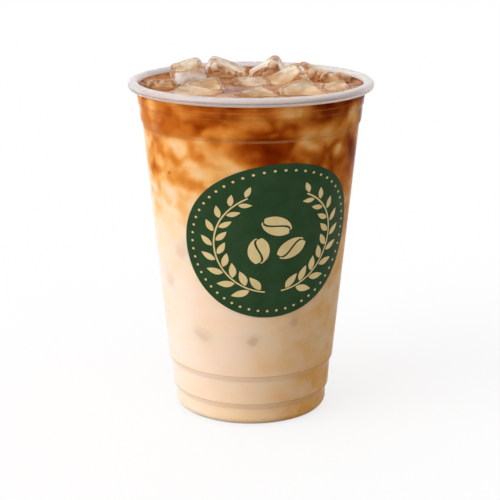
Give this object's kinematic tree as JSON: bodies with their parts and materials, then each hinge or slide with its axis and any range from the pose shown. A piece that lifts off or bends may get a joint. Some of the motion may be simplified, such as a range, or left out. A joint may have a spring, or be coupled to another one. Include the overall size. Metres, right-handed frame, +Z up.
{
  "type": "iced coffee",
  "caption": "Clear tapered plastic cup with stacking steps and a rolled rim, filled with milk under coffee and heaped with blocks of ice.",
  "frame": {"origin": "centre of the ring that the cup stands on, on the cup's axis", "axes": "+Z up along the cup's axis; -Y towards the viewer, and the print is on that side, turned 14 degrees towards +X"},
  "size_m": [0.098, 0.098, 0.1421],
  "materials": {
    "cup": "clear, milky where it is drawn thick at the rim and steps",
    "milk": "smooth liquid",
    "coffee": "smooth liquid, marbled",
    "ice": "wet, clear with cloudy middles",
    "print_green": "printed ink, satin",
    "print_gold": "printed ink, satin"
  },
  "bodies": {
    "root": {"cup": "cup", "milk": "milk", "coffee": "coffee", "ice_left_tall": "ice", "ice_back_left": "ice", "ice_back_peak": "ice", "ice_back_right": "ice", "ice_centre_right": "ice", "ice_right": "ice", "ice_right_edge": "ice", "ice_front_right": "ice", "ice_front": "ice", "ice_front_left": "ice", "ice_middle": "ice", "ice_left": "ice", "ice_back_middle": "ice"}
  },
  "joints": []
}
